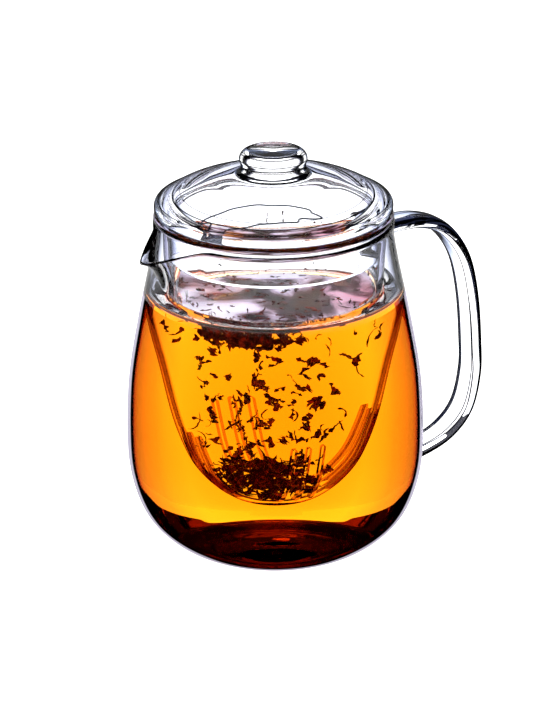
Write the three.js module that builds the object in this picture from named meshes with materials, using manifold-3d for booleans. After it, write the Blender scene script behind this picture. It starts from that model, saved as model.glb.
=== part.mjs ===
// Glass teapot with a lift-out glass infuser and a domed glass lid.
// Millimetres, +Z up. The origin is the centre of the flat base, the handle is on +X
// and the pouring lip is on -X.

import * as THREE from 'three';
import { mergeVertices } from 'three/addons/utils/BufferGeometryUtils.js';
import Module from 'manifold-3d';

const wasm = await Module();
wasm.setup();

// ---- driving dimensions ----

const FIT_GAP = 0.3;              // clearance between pieces that rest on or fuse to each other
const ROUND_SEGMENTS = 48;        // facets around the pot
const HALF_ROUND_STEPS = 4;       // facets along a rounded glass edge

const JUG_HEIGHT = 127.3;         // base to the top of the rim
const JUG_WALL = 2.2;
const JUG_BASE_THICKNESS = 3.2;
const BASE_FADE_HEIGHT = 20;      // the base thickness has thinned to the wall's at this height
const BASE_FLAT_RADIUS = 30;      // flat disc that the pot stands on
const JUG_OUTLINE_STEPS = 17;

const LIP_REACH = 12;             // how far the pouring lip is pulled out beyond the rim
const LIP_DROP = 7;               // how far its tip hangs below the rim
const LIP_HALF_ANGLE = 22;        // degrees of rim pulled outwards, each side of the tip
const LIP_DROP_HALF_ANGLE = 27;   // degrees of rim drawn downwards, each side of the tip
const LIP_SHARPNESS = 1.4;        // above 1 draws the lip to a point
const LIP_FADE_HEIGHT = 22;       // depth below the rim where the channel has died out
const LIP_REACH_FADE = 1.6;       // powers of the height that the pull fades with
const LIP_DROP_FADE = 2;

const HANDLE_WIDTH = 12.4;
const HANDLE_THICKNESS = 5.4;
const HANDLE_SQUARENESS = 0.7;    // power of the superellipse section: 1 is an ellipse, 0 a rectangle
const HANDLE_CORNERS = 12;
const HANDLE_STEPS = 26;
const UPPER_ROOT_HEIGHT = 115.2;
const LOWER_ROOT_HEIGHT = 17;
const ROOT_FLARE_LENGTH = 8;      // the strap widens over this length where it joins the wall
const ROOT_FLARE = 0.28;

const INFUSER_WALL = 1.8;
const INFUSER_BOTTOM = 20.6;      // height of the bowl's lowest point above the table
const NECK_RADIUS = 40.6;
const FLANGE_RADIUS = 44;
const FLANGE_THICKNESS = 2.4;
const FLANGE_FILLET = 1.6;        // between the neck and the flange
const BOWL_STEPS = 14;

const SLOT_WIDTH = 1.5;
const SLOT_SPACING = 4.8;
const SLOT_LOW = 25;
const SLOT_HIGH = 49.5;
const SLOTS_PER_GROUP = 3;
const SLOT_GROUPS = 4;
const SLOT_CUT_START = 2;         // distance from the axis where each cut starts

const LID_RADIUS = 43.7;
const LID_EDGE_HEIGHT = 4.6;      // height of the lid's thick rounded edge
const LID_CROWN_HEIGHT = 14.1;    // lid seat to the land under the knob
const LID_WALL = 2.8;
const SKIRT_RADIUS = 38.25;
const SKIRT_WALL = 1.9;
const SKIRT_DEPTH = 16;
const SKIRT_FILLET = 1;
const DOME_STEPS = 5;
const CEILING_STEPS = 6;

const KNOB_RADIUS = 12.5;
const KNOB_NECK_RADIUS = 11.3;
const KNOB_HEIGHT = 8.6;
const KNOB_STEPS = 8;

// ---- heights that follow from them ----

const FLANGE_SEAT = JUG_HEIGHT + FIT_GAP;
const FLANGE_TOP = FLANGE_SEAT + FLANGE_THICKNESS;
const LID_SEAT = FLANGE_TOP + FIT_GAP;
const LID_CROWN = LID_SEAT + LID_CROWN_HEIGHT;
const SKIRT_BOTTOM = LID_SEAT - SKIRT_DEPTH;
const KNOB_SEAT = LID_CROWN + FIT_GAP;

// ---- helpers ----

const point = (r, z) => new THREE.Vector2(r, z);

function smooth(points, count) {
  return new THREE.SplineCurve(points.map(([r, z]) => point(r, z))).getPoints(count);
}

// Half circle from one point to another, bulging to the left of the line between them.
function halfRound(from, to) {
  const centre = from.clone().add(to).multiplyScalar(0.5);
  const arm = from.clone().sub(centre);
  const arc = [];
  for (let i = 1; i < HALF_ROUND_STEPS; i++) {
    const turn = (Math.PI * i) / HALF_ROUND_STEPS;
    arc.push(arm.clone().rotateAround(point(0, 0), turn).add(centre));
  }
  return arc;
}

// The inside of a wall: each outer point moved inwards, square to the outline.
function offsetInwards(outline, thickness) {
  return outline.map((p, i) => {
    const before = outline[Math.max(i - 1, 0)];
    const after = outline[Math.min(i + 1, outline.length - 1)];
    const along = after.clone().sub(before).normalize();
    const wall = thickness(p);
    return point(p.x - along.y * wall, p.y + along.x * wall);
  });
}

// Revolves an outline of (radius, height) points about the Z axis.
function revolve(outline) {
  const lathe = new THREE.LatheGeometry(outline, ROUND_SEGMENTS);
  lathe.rotateX(Math.PI / 2);
  return lathe;
}

const SEAM_TOLERANCE = 1e-4;

// Joins vertices that share a place, so that the solid is one closed surface.
function toSolid(geometry) {
  const loose = geometry.clone();
  loose.deleteAttribute('normal');
  loose.deleteAttribute('uv');
  const bare = mergeVertices(loose, SEAM_TOLERANCE);
  return new wasm.Manifold(new wasm.Mesh({
    numProp: 3,
    vertProperties: new Float32Array(bare.attributes.position.array),
    triVerts: new Uint32Array(bare.index.array),
  }));
}

function toGeometry(solid) {
  const mesh = solid.getMesh();
  const geometry = new THREE.BufferGeometry();
  geometry.setAttribute('position', new THREE.BufferAttribute(mesh.vertProperties, 3));
  geometry.setIndex(new THREE.BufferAttribute(mesh.triVerts, 1));
  geometry.computeVertexNormals();
  return geometry;
}

// ---- jug ----

const JUG_OUTLINE = smooth([
  [BASE_FLAT_RADIUS, 0], [36.8, 1.3], [44.4, 6.2], [51, 14.5], [55, 27], [56.1, 42],
  [54.7, 66], [50.4, 90], [46.1, 110], [44.1, 121.5], [44.3, JUG_HEIGHT - JUG_WALL / 2],
], JUG_OUTLINE_STEPS);

function jugWallThickness(p) {
  const rise = THREE.MathUtils.smoothstep(p.y, 0, BASE_FADE_HEIGHT);
  return THREE.MathUtils.lerp(JUG_BASE_THICKNESS, JUG_WALL, rise);
}

// Draws the rim out and down on the -X side to form the pouring lip.
function pullLip(geometry) {
  const position = geometry.attributes.position;
  for (let i = 0; i < position.count; i++) {
    const x = position.getX(i);
    const y = position.getY(i);
    const z = position.getZ(i);
    const height = (z - (JUG_HEIGHT - LIP_FADE_HEIGHT)) / LIP_FADE_HEIGHT;
    if (height <= 0) continue;
    const angle = THREE.MathUtils.radToDeg(Math.abs(Math.atan2(y, -x)));
    const outwards = Math.max(0, 1 - angle / LIP_HALF_ANGLE) ** LIP_SHARPNESS;
    const downwards = Math.max(0, 1 - angle / LIP_DROP_HALF_ANGLE) ** LIP_SHARPNESS;
    const radius = Math.hypot(x, y);
    const reach = LIP_REACH * outwards * height ** LIP_REACH_FADE;
    const drop = LIP_DROP * downwards * height ** LIP_DROP_FADE;
    const scale = (radius + reach) / radius;
    position.setXYZ(i, x * scale, y * scale, z - drop);
  }
}

function jugBody() {
  const inside = offsetInwards(JUG_OUTLINE, jugWallThickness);
  const rim = halfRound(JUG_OUTLINE.at(-1), inside.at(-1));
  const outline = [
    point(0, 0), ...JUG_OUTLINE, ...rim, ...inside.reverse(), point(0, JUG_BASE_THICKNESS),
  ];
  const geometry = revolve(outline);
  pullLip(geometry);
  return geometry;
}

// ---- handle: one flat glass strap fused to the wall at both ends ----

const HANDLE_PATH = new THREE.CatmullRomCurve3([
  [40, 115], [53, 115.3], [63, 114.6], [72.5, 111], [80, 103.4], [85.3, 93.3],
  [88.8, 78], [90.6, 60], [90.9, 46], [87.5, 32], [79.5, 23.4], [68, 18.8], [50, 15.6],
].map(([x, z]) => new THREE.Vector3(x, 0, z)));

// Rounded strap section: a superellipse with its width along the pot's Y axis.
function strapSection() {
  const section = new THREE.Shape();
  const bulge = (value) => Math.sign(value) * Math.abs(value) ** HANDLE_SQUARENESS;
  for (let i = 0; i < HANDLE_CORNERS; i++) {
    const angle = (2 * Math.PI * i) / HANDLE_CORNERS;
    const x = (bulge(Math.cos(angle)) * HANDLE_WIDTH) / 2;
    const y = (bulge(Math.sin(angle)) * HANDLE_THICKNESS) / 2;
    if (i === 0) section.moveTo(x, y);
    else section.lineTo(x, y);
  }
  section.closePath();
  return section;
}

function jugRadiusAt(height) {
  const above = JUG_OUTLINE.findIndex((p) => p.y >= height);
  const high = JUG_OUTLINE.at(above);
  const low = JUG_OUTLINE[Math.max(above - 1, 0)];
  const part = (height - low.y) / Math.max(high.y - low.y, 1e-6);
  return THREE.MathUtils.lerp(low.x, high.x, part);
}

// Widens the strap where it melts into the wall.
function flareRoots(geometry) {
  const position = geometry.attributes.position;
  for (let i = 0; i < position.count; i++) {
    const x = position.getX(i);
    const y = position.getY(i);
    const z = position.getZ(i);
    const stand = x - jugRadiusAt(z);
    const near = THREE.MathUtils.clamp(1 - stand / ROOT_FLARE_LENGTH, 0, 1) ** 2;
    const grow = 1 + ROOT_FLARE * near;
    const root = z > JUG_HEIGHT / 2 ? UPPER_ROOT_HEIGHT : LOWER_ROOT_HEIGHT;
    position.setXYZ(i, x, y * grow, root + (z - root) * grow);
  }
}

// The strap is cut back by the jug's outline, so that its ends follow the wall.
function handle() {
  const strap = new THREE.ExtrudeGeometry(strapSection(), {
    extrudePath: HANDLE_PATH, steps: HANDLE_STEPS, bevelEnabled: false,
  });
  flareRoots(strap);
  const keepOut = revolve([
    point(0, -1),
    ...JUG_OUTLINE.map((p) => point(p.x + FIT_GAP, p.y)),
    point(0, JUG_HEIGHT),
  ]);
  return toGeometry(toSolid(strap).subtract(toSolid(keepOut)));
}

// ---- infuser ----

function infuserShell() {
  const bowl = smooth([
    [0, INFUSER_BOTTOM], [9.5, 21.7], [16, 25.5], [21.6, 32], [25.2, 39.5], [29.2, 52.5],
    [33, 71], [37, 88], [39.8, 102], [NECK_RADIUS, 114], [NECK_RADIUS, FLANGE_SEAT - 2.2],
  ], BOWL_STEPS);
  const inside = offsetInwards(bowl, () => INFUSER_WALL);
  inside[0] = point(0, INFUSER_BOTTOM + INFUSER_WALL);
  const edge = FLANGE_THICKNESS / 2;
  const lowEdge = point(FLANGE_RADIUS - edge, FLANGE_SEAT);
  const highEdge = point(FLANGE_RADIUS - edge, FLANGE_TOP);
  const innerRadius = NECK_RADIUS - INFUSER_WALL;
  const flange = [
    point(NECK_RADIUS + FLANGE_FILLET * 0.3, FLANGE_SEAT - FLANGE_FILLET * 0.45),
    point(NECK_RADIUS + FLANGE_FILLET, FLANGE_SEAT),
    lowEdge, ...halfRound(lowEdge, highEdge), highEdge,
    point(innerRadius + 1.4, FLANGE_TOP), point(innerRadius + 0.4, FLANGE_TOP - 0.6),
  ];
  return revolve([...bowl, ...flange, ...inside.reverse()]);
}

// One upright slot with round ends, long enough to cut through one side of the bowl.
function slotCutter(offset) {
  const half = SLOT_WIDTH / 2;
  const outline = new THREE.Shape();
  outline.absarc(0, SLOT_HIGH - half, half, 0, Math.PI);
  outline.absarc(0, SLOT_LOW + half, half, Math.PI, 2 * Math.PI);
  const cutter = new THREE.ExtrudeGeometry(outline, {
    depth: NECK_RADIUS, bevelEnabled: false, curveSegments: HALF_ROUND_STEPS,
  });
  cutter.rotateX(Math.PI / 2);
  cutter.translate(offset, -SLOT_CUT_START, 0);
  return cutter;
}

function infuser() {
  let solid = toSolid(infuserShell());
  for (let group = 0; group < SLOT_GROUPS; group++) {
    for (let slot = 0; slot < SLOTS_PER_GROUP; slot++) {
      const cutter = slotCutter((slot - (SLOTS_PER_GROUP - 1) / 2) * SLOT_SPACING);
      cutter.rotateZ((group * 2 * Math.PI) / SLOT_GROUPS);
      solid = solid.subtract(toSolid(cutter));
    }
  }
  return toGeometry(solid);
}

// ---- lid: a dome with a thick edge, and a skirt that centres it in the infuser's neck ----

function lid() {
  const land = point(KNOB_RADIUS, LID_CROWN);
  const shoulder = point(LID_RADIUS - 1.6, LID_SEAT + LID_EDGE_HEIGHT);
  const dome = smooth([
    [shoulder.x, shoulder.y], [34, LID_CROWN - 5.2], [23, LID_CROWN - 1.6], [land.x, land.y],
  ], DOME_STEPS);
  const ceiling = smooth([
    [SKIRT_RADIUS - SKIRT_WALL, LID_SEAT + 0.6], [34.6, LID_SEAT + 4],
    [24, LID_CROWN - LID_WALL - 2.2], [12, LID_CROWN - LID_WALL], [0, LID_CROWN - LID_WALL],
  ], CEILING_STEPS);
  const edge = [
    point(LID_RADIUS - 1.4, LID_SEAT), point(LID_RADIUS - 0.3, LID_SEAT + 0.9),
    point(LID_RADIUS, LID_SEAT + 2.2), point(LID_RADIUS - 0.4, LID_SEAT + 3.7),
  ];
  const skirtOuter = point(SKIRT_RADIUS, SKIRT_BOTTOM + SKIRT_WALL / 2);
  const skirtInner = point(SKIRT_RADIUS - SKIRT_WALL, SKIRT_BOTTOM + SKIRT_WALL / 2);
  return revolve([
    ...ceiling.reverse(), skirtInner, ...halfRound(skirtInner, skirtOuter), skirtOuter,
    point(SKIRT_RADIUS, LID_SEAT - SKIRT_FILLET), point(SKIRT_RADIUS + SKIRT_FILLET, LID_SEAT),
    ...edge, ...dome, point(0, LID_CROWN),
  ]);
}

function knob() {
  const top = KNOB_SEAT + KNOB_HEIGHT;
  const side = smooth([
    [KNOB_NECK_RADIUS + 0.6, KNOB_SEAT], [KNOB_NECK_RADIUS, KNOB_SEAT + 1.6],
    [KNOB_RADIUS - 0.5, KNOB_SEAT + 3.6], [KNOB_RADIUS, KNOB_SEAT + 5.4],
    [KNOB_RADIUS - 0.8, top - 1.2], [KNOB_RADIUS - 3, top],
  ], KNOB_STEPS);
  return revolve([point(0, KNOB_SEAT), ...side, point(0, top)]);
}

// ---- assembly ----

const GLASS_COLOR = 0xeef3f5;

function glassPart(name, geometry) {
  const material = new THREE.MeshStandardMaterial({
    color: GLASS_COLOR, roughness: 0.02, metalness: 0, transparent: true, opacity: 0.35,
  });
  const mesh = new THREE.Mesh(geometry, material);
  mesh.name = name;
  return mesh;
}

const jug = new THREE.Group();
jug.add(glassPart('jug_body', jugBody()), glassPart('handle', handle()));

const liftOut = new THREE.Group();
liftOut.add(glassPart('infuser', infuser()));

const cover = new THREE.Group();
cover.add(glassPart('lid', lid()), glassPart('lid_knob', knob()));

const teapot = new THREE.Group();
teapot.add(jug, liftOut, cover);

export default teapot;
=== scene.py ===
import math
import random

import bpy
import numpy as np
from mathutils import Matrix, Vector


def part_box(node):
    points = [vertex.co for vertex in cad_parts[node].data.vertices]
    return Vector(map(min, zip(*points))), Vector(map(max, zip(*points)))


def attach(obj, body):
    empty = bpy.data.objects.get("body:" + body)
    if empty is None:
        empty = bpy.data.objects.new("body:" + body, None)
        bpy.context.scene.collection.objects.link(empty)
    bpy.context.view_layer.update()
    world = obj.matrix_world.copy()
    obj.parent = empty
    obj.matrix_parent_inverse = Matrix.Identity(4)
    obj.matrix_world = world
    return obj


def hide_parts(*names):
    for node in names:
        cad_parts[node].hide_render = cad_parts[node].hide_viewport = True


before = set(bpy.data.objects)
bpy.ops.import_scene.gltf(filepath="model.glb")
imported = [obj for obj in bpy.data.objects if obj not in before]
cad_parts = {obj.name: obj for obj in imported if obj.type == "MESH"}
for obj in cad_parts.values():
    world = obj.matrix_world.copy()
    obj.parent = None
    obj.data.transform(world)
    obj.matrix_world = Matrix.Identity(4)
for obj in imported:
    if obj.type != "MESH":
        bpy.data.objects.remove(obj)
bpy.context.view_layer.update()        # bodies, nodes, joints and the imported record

# Glass teapot full of tea. Metres, +Z up, handle on +X, pouring lip on -X.

MM = 0.001

# ---- sizes read from the frame ----

JUG_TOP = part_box("jug_body")[1].z
INFUSER_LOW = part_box("infuser")[0].z
INFUSER_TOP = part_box("infuser")[1].z
FLANGE_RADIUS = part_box("infuser")[1].x
LID_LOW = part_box("lid")[0].z
LID_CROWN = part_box("lid")[1].z
LID_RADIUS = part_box("lid")[1].x
KNOB_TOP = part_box("lid_knob")[1].z
KNOB_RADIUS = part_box("lid_knob")[1].x

# ---- sizes that the shapes share ----

ROUND = 192                      # facets around the pot
JUG_WALL = 2.2 * MM
JUG_BASE = 3.2 * MM
BASE_FLAT_RADIUS = 30 * MM
TEA_LEVEL = 100.8 * MM
INFUSER_WALL = 1.8 * MM
NECK_RADIUS = 40.6 * MM
FLANGE_THICKNESS = 2.4 * MM
LID_SEAT = INFUSER_TOP + 0.3 * MM
SKIRT_RADIUS = 38.25 * MM
SKIRT_WALL = 1.9 * MM
LID_WALL = 2.8 * MM

GLASS_IOR = 1.47
WATER_IOR = 1.333                # tea bends light as water does
WET_IOR = GLASS_IOR / WATER_IOR  # glass against tea
BOWL_WET_IOR = 1.03              # lower than WET_IOR, so that the bowl's outline in the tea stays thin
SLOT_WET_IOR = 1.04

rng = random.Random(7)


# ---- camera ----

CAMERA_AZIMUTH = math.radians(-31.5)
CAMERA_ELEVATION = math.radians(23)
CAMERA_ROLL = math.radians(0.45)
CAMERA_DISTANCE = 0.85
CAMERA_TARGET = Vector((0, 0, 0.070))
CAMERA_LENS = 113.3              # mm, on a 36 mm sensor
CAMERA_SHIFT = (-0.0067, 0.0026)


def add_camera():
    back = Vector((
        math.sin(CAMERA_AZIMUTH) * math.cos(CAMERA_ELEVATION),
        -math.cos(CAMERA_AZIMUTH) * math.cos(CAMERA_ELEVATION),
        math.sin(CAMERA_ELEVATION),
    ))
    right = Vector((math.cos(CAMERA_AZIMUTH), math.sin(CAMERA_AZIMUTH), 0))
    up = back.cross(right)
    turn = Matrix.Rotation(-CAMERA_ROLL, 3, back)
    axes = Matrix((turn @ right, turn @ up, back)).transposed()
    data = bpy.data.cameras.new("camera")
    data.lens = CAMERA_LENS
    data.sensor_width = 36
    data.shift_x, data.shift_y = CAMERA_SHIFT
    data.clip_start, data.clip_end = 0.01, 20
    camera = bpy.data.objects.new("camera", data)
    camera.matrix_world = Matrix.Translation(CAMERA_TARGET + back * CAMERA_DISTANCE) @ axes.to_4x4()
    bpy.context.scene.collection.objects.link(camera)
    bpy.context.scene.camera = camera


# ---- mesh helpers ----

def spline(points, count):
    """Points on a uniform Catmull-Rom curve through the given ones."""
    given = [np.array(p, float) for p in points]
    last = len(given) - 1
    made = []
    for i in range(count + 1):
        along = last * i / count
        k = min(int(along), last - 1)
        t = along - k
        a, b = given[max(k - 1, 0)], given[k]
        c, d = given[k + 1], given[min(k + 2, last)]
        made.append(0.5 * (
            2 * b + (c - a) * t + (2 * a - 5 * b + 4 * c - d) * t ** 2 + (3 * b - a - 3 * c + d) * t ** 3
        ))
    return made


def mm_points(points):
    return [(r * MM, z * MM) for r, z in points]


def half_round(start, end, count):
    """Half circle from start to end, bulging to the left of the way there; the ends are left out."""
    start, end = np.array(start, float), np.array(end, float)
    centre = (start + end) / 2
    arm = start - centre
    made = []
    for i in range(1, count):
        a = math.pi * i / count
        turn = np.array([[math.cos(a), -math.sin(a)], [math.sin(a), math.cos(a)]])
        made.append(centre + turn @ arm)
    return made


def offset_inwards(outline, thickness):
    """The inside of a wall, square to its outline. thickness is a function of (r, z)."""
    made = []
    for i, p in enumerate(outline):
        before = outline[max(i - 1, 0)]
        after = outline[min(i + 1, len(outline) - 1)]
        along = (after - before) / np.linalg.norm(after - before)
        wall = thickness(p)
        made.append(np.array([p[0] - along[1] * wall, p[1] + along[0] * wall]))
    return made


def new_mesh_object(name, verts, faces, materials=(), smooth=True):
    mesh = bpy.data.meshes.new(name)
    mesh.from_pydata([tuple(v) for v in verts], [], faces)
    mesh.validate()
    for material in materials:
        mesh.materials.append(material)
    if smooth:
        mesh.polygons.foreach_set("use_smooth", [True] * len(mesh.polygons))
    mesh.update()
    piece = bpy.data.objects.new(name, mesh)
    bpy.context.scene.collection.objects.link(piece)
    return piece


def revolve(name, outline, materials=(), slot_of=None, bend=None, round_count=ROUND):
    """Solid of revolution. The outline runs from the axis to the axis. slot_of gives a band's slot number."""
    ring_points = [p for p in outline if p[0] > 1e-7]
    verts, faces, slots = [], [], []
    for r, z in ring_points:
        for k in range(round_count):
            a = 2 * math.pi * k / round_count
            verts.append((r * math.cos(a), r * math.sin(a), z))
    for i in range(len(ring_points) - 1):
        for k in range(round_count):
            n = (k + 1) % round_count
            low, high = i * round_count, (i + 1) * round_count
            faces.append((low + k, low + n, high + n, high + k))
            slots.append(slot_of(ring_points[i], ring_points[i + 1]) if slot_of else 0)
    first, last = outline[0], outline[-1]
    for pole, ring, flip in ((first, 0, True), (last, len(ring_points) - 1, False)):
        verts.append((0, 0, pole[1]))
        tip = len(verts) - 1
        for k in range(round_count):
            n = (k + 1) % round_count
            a, b = ring * round_count + k, ring * round_count + n
            faces.append((tip, b, a) if flip else (tip, a, b))
            slots.append(slot_of(ring_points[ring], pole) if slot_of else 0)
    if bend:
        verts = [bend(v) for v in verts]
    piece = new_mesh_object(name, verts, faces, materials)
    piece.data.polygons.foreach_set("material_index", slots)
    return piece


def apply_boolean(piece, other, operation):
    modifier = piece.modifiers.new("cut", "BOOLEAN")
    modifier.object = other
    modifier.operation = operation
    modifier.solver = "EXACT"
    graph = bpy.context.evaluated_depsgraph_get()
    made = bpy.data.meshes.new_from_object(piece.evaluated_get(graph))
    piece.modifiers.clear()
    old = piece.data
    piece.data = made
    made.name = piece.name
    bpy.data.meshes.remove(old)
    bpy.data.objects.remove(other, do_unlink=True)


# ---- materials ----

WHITE = (1, 1, 1)
BLACK = (0.004, 0.004, 0.006)
TOTAL_REFLECTION = 0.985         # a Fresnel share above this means that no light leaves the glass
WAVE_HEIGHT = 0.2 * MM


def new_material(name):
    material = bpy.data.materials.new(name)
    material.use_nodes = True
    nodes = material.node_tree.nodes
    return material, nodes, material.node_tree.links, nodes["Principled BSDF"]


def ramp_node(nodes, stops):
    """A colour ramp; stops are (position, (r, g, b))."""
    ramp = nodes.new("ShaderNodeValToRGB")
    elements = ramp.color_ramp.elements
    while len(elements) < len(stops):
        elements.new(0.5)
    for element, (position, colour) in zip(elements, stops):
        element.position = position
        element.color = (*colour, 1)
    return ramp


def facing_ramp(nodes, links, stops):
    """A ramp over how far a surface turns away from the ray: 0 square-on, 1 grazing."""
    facing = nodes.new("ShaderNodeLayerWeight")
    facing.inputs["Blend"].default_value = 0.5
    ramp = ramp_node(nodes, stops)
    links.new(facing.outputs["Facing"], ramp.inputs["Fac"])
    return ramp.outputs["Color"]


def grey_stops(*stops):
    return [(position, (value, value, value)) for position, value in stops]


def glass_material(
    name, ior, edge_shade_stops, mirror_stops, mirror_colour=WHITE, waves=0.0, wave_scale=40.0,
    inner_mirror=True, painted_tint=WHITE, inner_colour=None,
):
    """Clear glass: what shows through it is tinted and darkened towards its edges by painted shade, and a
    share of the light is mirrored.

    inner_mirror keeps the light that can't leave the glass, in inner_colour or else in the painted tint.
    Without it those places are black. The painted tint darkens all that shows through, painted shade for dark
    lines. waves is the strength of faint bumps, wave_scale how closely they lie."""
    material, nodes, links, shader = new_material(name)
    nodes.remove(shader)
    through = nodes.new("ShaderNodeBsdfRefraction")
    through.inputs["IOR"].default_value = ior
    through.inputs["Roughness"].default_value = 0.0
    mirror = nodes.new("ShaderNodeBsdfAnisotropic")
    mirror.inputs["Roughness"].default_value = 0.0
    mirror.inputs["Color"].default_value = (*mirror_colour, 1)
    both = nodes.new("ShaderNodeMixShader")
    place = nodes.new("ShaderNodeTexCoord")
    streaks = nodes.new("ShaderNodeTexNoise")
    streaks.inputs["Scale"].default_value = wave_scale
    streaks.inputs["Detail"].default_value = 1.0
    links.new(place.outputs["Object"], streaks.inputs["Vector"])
    faint = (0.985 * painted_tint[0], 0.99 * painted_tint[1], painted_tint[2])
    tone = ramp_node(nodes, [(0.3, faint), (0.7, painted_tint)])
    links.new(streaks.outputs["Fac"], tone.inputs["Fac"])
    shade = nodes.new("ShaderNodeMix")
    shade.data_type = "RGBA"
    shade.blend_type = "MULTIPLY"
    shade.inputs["Factor"].default_value = 1.0
    # painted shade: the facing ramp darkens and tints what shows through towards the edges
    links.new(facing_ramp(nodes, links, edge_shade_stops), shade.inputs["A"])
    links.new(tone.outputs["Color"], shade.inputs["B"])
    links.new(shade.outputs["Result"], through.inputs["Color"])
    links.new(facing_ramp(nodes, links, grey_stops(*mirror_stops)), both.inputs["Fac"])
    links.new(through.outputs["BSDF"], both.inputs[1])
    links.new(mirror.outputs["BSDF"], both.inputs[2])
    surface = both.outputs["Shader"]
    mirrors = [mirror]
    if inner_mirror:
        fresnel = nodes.new("ShaderNodeFresnel")
        fresnel.inputs["IOR"].default_value = ior
        kept = nodes.new("ShaderNodeMath")
        kept.operation = "GREATER_THAN"
        kept.inputs[1].default_value = TOTAL_REFLECTION
        links.new(fresnel.outputs["Fac"], kept.inputs[0])
        inner = nodes.new("ShaderNodeBsdfAnisotropic")
        inner.inputs["Roughness"].default_value = 0.0
        inner.inputs["Color"].default_value = (*(inner_colour or painted_tint), 1)
        mirrors.append(inner)
        whole = nodes.new("ShaderNodeMixShader")
        links.new(kept.outputs["Value"], whole.inputs["Fac"])
        links.new(surface, whole.inputs[1])
        links.new(inner.outputs["BSDF"], whole.inputs[2])
        surface = whole.outputs["Shader"]
    links.new(surface, nodes["Material Output"].inputs["Surface"])
    if waves:
        bump = nodes.new("ShaderNodeBump")
        bump.inputs["Strength"].default_value = waves
        bump.inputs["Distance"].default_value = WAVE_HEIGHT
        links.new(streaks.outputs["Fac"], bump.inputs["Height"])
        for part in [through, *mirrors]:
            links.new(bump.outputs["Normal"], part.inputs["Normal"])
    return material


# Stops of (facing, colour) for what shows through, and of (facing, share) for what is mirrored.
# The colours are painted shade: they darken the glass towards its edges into black lines, in place of the
# dark surroundings that real glass bends into view there.
CLEAR_THROUGH = [(0.0, WHITE), (0.55, WHITE), (0.75, (0.5, 0.52, 0.62)), (0.9, BLACK)]
CLEAR_MIRROR = [(0.0, 0.004), (0.55, 0.01), (0.8, 0.08), (1.0, 0.35)]
STRAP_THROUGH = [(0.0, WHITE), (0.5, WHITE), (0.68, (0.4, 0.45, 0.6)), (0.8, BLACK)]
KNOB_THROUGH = [
    (0.0, WHITE), (0.29, WHITE), (0.35, (0.1, 0.1, 0.14)), (0.38, BLACK), (0.50, BLACK), (0.56, WHITE),
    (0.64, WHITE), (0.70, (0.1, 0.12, 0.18)), (0.77, BLACK),
]
SOFT_MIRROR = [(0.0, 0.006), (1.0, 0.02)]
# FULL_THROUGH is painted shade: what shows through the full jug turns pink, lilac and then black towards its
# edges.
# This ramp began as colours sampled along one row of the photo.
FULL_THROUGH = [
    (0.0, WHITE), (0.265, WHITE), (0.375, (0.93, 0.76, 0.8)), (0.448, (0.84, 0.57, 0.7)),
    (0.545, (0.66, 0.42, 0.6)), (0.603, (0.55, 0.34, 0.6)), (0.646, (0.48, 0.29, 0.6)),
    (0.694, (0.42, 0.17, 0.5)), (0.720, (0.25, 0.08, 0.4)), (0.738, (0.08, 0.02, 0.3)), (0.75, (0, 0, 0)),
]
FULL_MIRROR = [(0.0, 0.0), (0.80, 0.0), (0.82, 0.9), (1.0, 1.0)]
BAND_COLOUR = (0.35, 0.33, 0.40)     # what the full jug's outermost band mirrors, in grey-lilac
# Tints of the light that total reflection keeps inside wet glass.
JUG_WET_INNER = (0.6, 0.4, 0.45)
JUG_FULL_INNER = (0.62, 0.42, 0.47)
BOWL_WET_INNER = (0.3, 0.13, 0.1)
SLOT_WET_INNER = (0.2, 0.06, 0.04)
WET_THROUGH = [(0.0, WHITE), (0.74, WHITE), (0.86, (0.5, 0.25, 0.16)), (0.93, (0.05, 0.01, 0.005))]
NO_MIRROR = [(0.0, 0.0), (1.0, 0.0)]
TEA_TOP_MIRROR = [(0.0, 0.02), (0.5, 0.1), (0.65, 0.2), (0.85, 0.5), (1.0, 1.0)]

TEA_COLOUR = (0.985, 0.785, 0.03, 1)
TEA_DENSITY = 64                 # absorption per metre, times one minus the colour
TEA_TOP_BAND = 0.4 * MM          # what is higher than this below the level counts as the tea's top


def tea_material():
    """Clear amber tea. Its top bends and mirrors light as water does; its sides lie inside the jug's wall."""
    material, nodes, links, shader = new_material("tea")
    nodes.remove(shader)
    through = nodes.new("ShaderNodeBsdfRefraction")
    through.inputs["Roughness"].default_value = 0.0
    mirror = nodes.new("ShaderNodeBsdfAnisotropic")
    mirror.inputs["Roughness"].default_value = 0.0
    both = nodes.new("ShaderNodeMixShader")
    geometry = nodes.new("ShaderNodeNewGeometry")
    place = nodes.new("ShaderNodeSeparateXYZ")
    links.new(geometry.outputs["Position"], place.inputs["Vector"])
    top = nodes.new("ShaderNodeMath")
    top.operation = "GREATER_THAN"
    top.inputs[1].default_value = TEA_LEVEL - TEA_TOP_BAND
    links.new(place.outputs["Z"], top.inputs[0])
    bending = nodes.new("ShaderNodeMapRange")
    bending.inputs["To Min"].default_value = 1.0
    bending.inputs["To Max"].default_value = WATER_IOR
    links.new(top.outputs["Value"], bending.inputs["Value"])
    links.new(bending.outputs["Result"], through.inputs["IOR"])
    share = nodes.new("ShaderNodeMath")
    share.operation = "MULTIPLY"
    links.new(top.outputs["Value"], share.inputs[0])
    shine = facing_ramp(nodes, links, grey_stops(*TEA_TOP_MIRROR))
    links.new(shine, share.inputs[1])
    links.new(share.outputs["Value"], both.inputs["Fac"])
    links.new(through.outputs["BSDF"], both.inputs[1])
    links.new(mirror.outputs["BSDF"], both.inputs[2])
    links.new(both.outputs["Shader"], nodes["Material Output"].inputs["Surface"])
    soak = nodes.new("ShaderNodeVolumeAbsorption")
    soak.inputs["Color"].default_value = TEA_COLOUR
    soak.inputs["Density"].default_value = TEA_DENSITY
    links.new(soak.outputs["Volume"], nodes["Material Output"].inputs["Volume"])
    return material


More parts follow.
